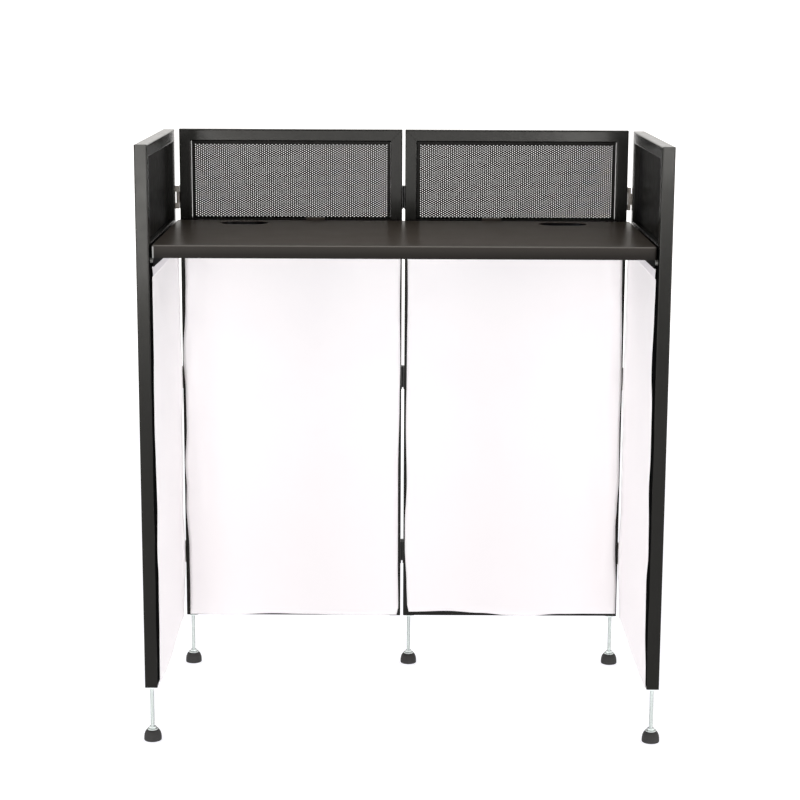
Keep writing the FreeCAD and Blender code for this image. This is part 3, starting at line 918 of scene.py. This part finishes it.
LEFT_PULLS = (
    (24, 300, 10, 120, 2, 1.0),
    (22, 560, 10, 90, -2, 0.9),
    (60, 50, 60, 12, 70, 2.2),
    (38, 14, 40, 9, 80, 2.0),
    (90, 760, 14, 60, -40, 0.9),
    (420, 600, 10, 150, 1, 0.6),
    (260, 400, 40, 260, 2, 0.5),
)
RIGHT_PULLS = (
    (410, 300, 10, 120, -2, 1.0),
    (412, 560, 10, 90, 2, 0.9),
    (380, 40, 60, 12, -70, 2.0),
    (350, 770, 14, 60, 40, 0.9),
    (20, 600, 10, 150, 1, 0.6),
    (200, 420, 40, 260, -2, 0.5),
)


def scrim_frame(panel):
    """A scrim's first corner on the inner face of the tubes, its directions, and its size."""
    low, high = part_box(panel + "_scrim")
    out = PANEL_OUT[panel]
    along = UP.cross(-out)
    face = max(out.dot(low), out.dot(high))
    first, last = sorted((along.dot(low), along.dot(high)))
    start = along * first + out * face + UP * low.z
    return start, along, -out, last - first, high.z - low.z


stretch_scrim("left", *scrim_frame("left"), LEFT_EDGES, LEFT_PULLS)
stretch_scrim("front_left", *scrim_frame("front_left"), FRONT_LEFT_EDGES, FRONT_LEFT_PULLS)
stretch_scrim("front_right", *scrim_frame("front_right"), FRONT_RIGHT_EDGES, FRONT_RIGHT_PULLS)
stretch_scrim("right", *scrim_frame("right"), RIGHT_EDGES, RIGHT_PULLS)


# Table pegs
# Short turned pegs, zinc plated, pressed into the inner face of the two near posts. The near corners
# of the table top stand on them.

peg_zinc = new_finish("dull_zinc_on_pegs", colour=(0.2, 0.2, 0.19), roughness=0.5, metallic=0.9)
vary_colour(peg_zinc, size=4 * MM, dark=(0.16, 0.16, 0.15), light=(0.24, 0.24, 0.23))
vary_roughness(peg_zinc, size=3 * MM, smooth=0.44, rough=0.56)

for side in ("left", "right"):
    dress(side + "_table_peg", peg_zinc)


# Table top
# A pan folded from steel sheet, with a skirt all round, two collared cable ports, hooks on its far
# edge over the middle rails and gussets under its near corners. It is coated semi-gloss black.

# How far from the table's left end, near face and top the painted highlight is full, and where it fades
# out.
GLINT_FULL_WIDTH = 1.5 * MM
GLINT_WIDTH = 5 * MM
GLINT_FULL_DEPTH = 1 * MM
GLINT_DEPTH = 2 * MM
GLINT_FULL_BELOW_TOP = 4 * MM
GLINT_BELOW_TOP = 2 * MM
PAINTED_CORNER_GLINT = (0.72, 0.72, 0.70)
# How far from the near bend the painted highlight is full, and where it ends.
BEND_HIGHLIGHT_FULL = 1 * MM
BEND_HIGHLIGHT_NONE = 3 * MM
PAINTED_BEND_HIGHLIGHT = (0.142, 0.134, 0.124)
# The painted shade on the skirts under the bend, and at the bottom.
SKIRT_PAINTED_SHADE = (0.033, 0.029, 0.0255)
SKIRT_BOTTOM_PAINTED_SHADE = (0.0135, 0.0118, 0.0103)
# Where the painted shade inside starts, in from the edges and down from the top.
INSIDE_FROM_EDGE = 18 * MM
INSIDE_BELOW_TOP = 0.7 * MM
INSIDE_FADE = 0.5 * MM
INSIDE_PAINTED_SHADE = (0.0008, 0.0008, 0.0008)

table_low, table_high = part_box("table_top")
table_coat = new_finish("semi_gloss_black_coat", colour=(0.071, 0.059, 0.05), roughness=0.29)
vary_colour(table_coat, size=70 * MM, dark=(0.0685, 0.0568, 0.048), light=(0.0735, 0.0612, 0.052))
vary_roughness(table_coat, size=60 * MM, smooth=0.28, rough=0.30)
shader_of(table_coat).inputs["Specular IOR Level"].default_value = 0.04


def where_all(finish, masks):
    """A mask that is one only where all of these are."""
    tree = finish.node_tree
    result = masks[0]
    for mask in masks[1:]:
        product = tree.nodes.new("ShaderNodeMath")
        product.operation = "MULTIPLY"
        tree.links.new(result, product.inputs[0])
        tree.links.new(mask, product.inputs[1])
        result = product.outputs["Value"]
    return result


def paint_skirt_shade(finish):
    """Paints shade on the skirts, darker than the top's coat, and darkest at the bottom."""
    height = place_on(finish)["Z"]
    below_top = fade(finish, height, table_high.z - BEND_HIGHLIGHT_NONE, table_high.z - BEND_HIGHLIGHT_FULL)
    paint_over(finish, below_top, SKIRT_PAINTED_SHADE)
    downwards = fade(finish, height, table_low.z, table_high.z)
    paint_over(finish, downwards, SKIRT_BOTTOM_PAINTED_SHADE)


def paint_bend_highlight(finish):
    """Paints a pale highlight along the bend from the top into the near skirt."""
    place = place_on(finish)
    near = fade(finish, place["Y"], table_low.y + BEND_HIGHLIGHT_FULL, table_low.y + BEND_HIGHLIGHT_NONE)
    high = fade(finish, place["Z"], table_high.z - BEND_HIGHLIGHT_FULL, table_high.z - BEND_HIGHLIGHT_NONE)
    paint_over(finish, where_all(finish, [near, high]), PAINTED_BEND_HIGHLIGHT)


def paint_left_corner_glint(finish):
    """Paints a highlight in a pale steel colour down the left end of the near skirt, fading away from the
    end.
    """
    place = place_on(finish)
    at_end = fade(finish, place["X"], table_low.x + GLINT_FULL_WIDTH, table_low.x + GLINT_WIDTH)
    on_skirt = fade(finish, place["Y"], table_low.y + GLINT_FULL_DEPTH, table_low.y + GLINT_DEPTH)
    full_height = table_high.z - GLINT_FULL_BELOW_TOP
    below_top = fade(finish, place["Z"], full_height, table_high.z - GLINT_BELOW_TOP)
    paint_over(finish, where_all(finish, [at_end, on_skirt, below_top]), PAINTED_CORNER_GLINT)


def paint_shade_inside(finish):
    """Paints shade into the inside of the pan and of the ports' collars, where little light reaches."""
    place = place_on(finish)
    ceiling = table_high.z - INSIDE_BELOW_TOP
    masks = [fade(finish, place["Z"], ceiling - INSIDE_FADE, ceiling)]
    for axis, low, high in (("X", table_low.x, table_high.x), ("Y", table_low.y, table_high.y)):
        first = low + INSIDE_FROM_EDGE
        last = high - INSIDE_FROM_EDGE
        masks.append(fade(finish, place[axis], first, first - INSIDE_FADE))
        masks.append(fade(finish, place[axis], last, last + INSIDE_FADE))
    paint_over(finish, where_all(finish, masks), INSIDE_PAINTED_SHADE)


paint_skirt_shade(table_coat)
paint_bend_highlight(table_coat)
paint_left_corner_glint(table_coat)
paint_shade_inside(table_coat)

gusset_black = new_finish("matte_black_on_gussets", colour=(0.005, 0.005, 0.005), roughness=0.6)
vary_colour(gusset_black, size=12 * MM, dark=(0.004, 0.004, 0.004), light=(0.006, 0.006, 0.006))
vary_roughness(gusset_black, size=10 * MM, smooth=0.54, rough=0.66)
shader_of(gusset_black).inputs["Specular IOR Level"].default_value = 0.1

dress("table_top", table_coat)
dress("table_hooks", table_coat)
dress("table_gussets", gusset_black)


# Studio
# A pale floor, lit so that it stays white, in a white room whose far wall is the brighter one. Two soft
# boxes behind the camera streak the near posts, a weaker one lights the rails between them, and one at
# either side lights the scrims.

FLOOR_HALF = 30.0
FLOOR_FAR_WHITE = (0.9, 0.9, 0.9)
FLOOR_NEAR_GLOW = (0.77, 0.77, 0.81, 1.0)
FLOOR_FAR_GLOW = (0.84, 0.83, 0.83, 1.0)
# How far behind the booth the floor starts to turn from its near glow, and where it reaches the far one.
FLOOR_GLOW_FROM = 1.0
FLOOR_GLOW_TO = 6.0

floor_paint = new_finish("pale_studio_floor", colour=(0.4, 0.4, 0.4), roughness=0.9)
vary_colour(floor_paint, size=2.0, dark=(0.39, 0.39, 0.39), light=(0.41, 0.41, 0.41))
far_end = fade(floor_paint, place_on(floor_paint)["Y"], FLOOR_GLOW_TO, FLOOR_GLOW_FROM)
paint_over(floor_paint, far_end, FLOOR_FAR_WHITE)
shader_of(floor_paint).inputs["Specular IOR Level"].default_value = 0.0
shader_of(floor_paint).inputs["Emission Strength"].default_value = 1.0
glow = floor_paint.node_tree.nodes.new("ShaderNodeMixRGB")
glow.inputs["Color1"].default_value = FLOOR_NEAR_GLOW
glow.inputs["Color2"].default_value = FLOOR_FAR_GLOW
floor_paint.node_tree.links.new(far_end, glow.inputs["Fac"])
floor_paint.node_tree.links.new(glow.outputs["Color"], shader_of(floor_paint).inputs["Emission Color"])
floor_mesh = bpy.data.meshes.new("studio_floor")
floor_corners = [(x * FLOOR_HALF, y * FLOOR_HALF, 0.0) for x, y in ((-1, -1), (1, -1), (1, 1), (-1, 1))]
floor_mesh.from_pydata(floor_corners, [], [(0, 1, 2, 3)])
floor_mesh.materials.append(floor_paint)
floor = bpy.data.objects.new("studio_floor", floor_mesh)
bpy.context.scene.collection.objects.link(floor)

NEAR_WALL_LIGHT = 0.25
FAR_WALL_LIGHT = 1.25
WALL_BLEND = 0.6
WALL_WHITE = (1.0, 0.98, 0.95, 1.0)

room = bpy.data.worlds.new("white_room")
room.use_nodes = True
walls = room.node_tree.nodes["Background"]
walls.inputs["Color"].default_value = WALL_WHITE
direction = room.node_tree.nodes.new("ShaderNodeTexCoord")
axes = room.node_tree.nodes.new("ShaderNodeSeparateXYZ")
wall_light = room.node_tree.nodes.new("ShaderNodeMapRange")
wall_light.inputs["From Min"].default_value = -WALL_BLEND
wall_light.inputs["From Max"].default_value = WALL_BLEND
wall_light.inputs["To Min"].default_value = NEAR_WALL_LIGHT
wall_light.inputs["To Max"].default_value = FAR_WALL_LIGHT
room.node_tree.links.new(direction.outputs["Generated"], axes.inputs["Vector"])
room.node_tree.links.new(axes.outputs["Y"], wall_light.inputs["Value"])
room.node_tree.links.new(wall_light.outputs["Result"], walls.inputs["Strength"])
bpy.context.scene.world = room
bpy.context.scene.view_settings.view_transform = "Standard"


def hang_soft_box(name, place, width, height, brightness):
    """A soft box of an even brightness that faces the booth."""
    lamp = bpy.data.lights.new(name, "AREA")
    lamp.shape = "RECTANGLE"
    lamp.size = width
    lamp.size_y = height
    lamp.energy = brightness * math.pi * width * height
    box = bpy.data.objects.new(name, lamp)
    box.location = place
    box.rotation_euler = (booth_middle - place).to_track_quat("-Z", "Y").to_euler()
    bpy.context.scene.collection.objects.link(box)


booth_middle = (cad_low + cad_high) / 2
hang_soft_box("left_soft_box", Vector((-1.15, -4.6, 0.75)), width=0.66, height=0.9, brightness=15.0)
hang_soft_box("right_soft_box", Vector((1.06, -4.6, 1.0)), width=0.78, height=0.52, brightness=15.5)
hang_soft_box("middle_soft_box", Vector((0, -5.0, 0.9)), width=1.4, height=0.8, brightness=4.2)
hang_soft_box("left_side_soft_box", Vector((-2.6, -2.2, 0.7)), width=1.6, height=0.7, brightness=11.5)
hang_soft_box("right_side_soft_box", Vector((2.6, -2.2, 0.7)), width=1.6, height=0.7, brightness=11.5)

# The camera that fits the photo, without its lens distortion.
CAMERA_PLACE = Vector((-0.014453, -4.001038, 1.436671))
CAMERA_LENS = 89.577
CAMERA_PITCH = math.radians(11.21454)
CAMERA_YAW = math.radians(0.11809)
CAMERA_ROLL = math.radians(-0.26847)

camera = bpy.data.objects.new("camera", bpy.data.cameras.new("camera"))
camera.data.lens = CAMERA_LENS
level = Matrix.Rotation(math.pi / 2 - CAMERA_PITCH, 4, "X")
turn = Matrix.Rotation(-CAMERA_YAW, 4, "Z")
tilt = Matrix.Rotation(-CAMERA_ROLL, 4, "Z")
camera.matrix_world = Matrix.Translation(CAMERA_PLACE) @ turn @ level @ tilt
bpy.context.scene.collection.objects.link(camera)
bpy.context.scene.camera = camera

bpy.context.view_layer.update()
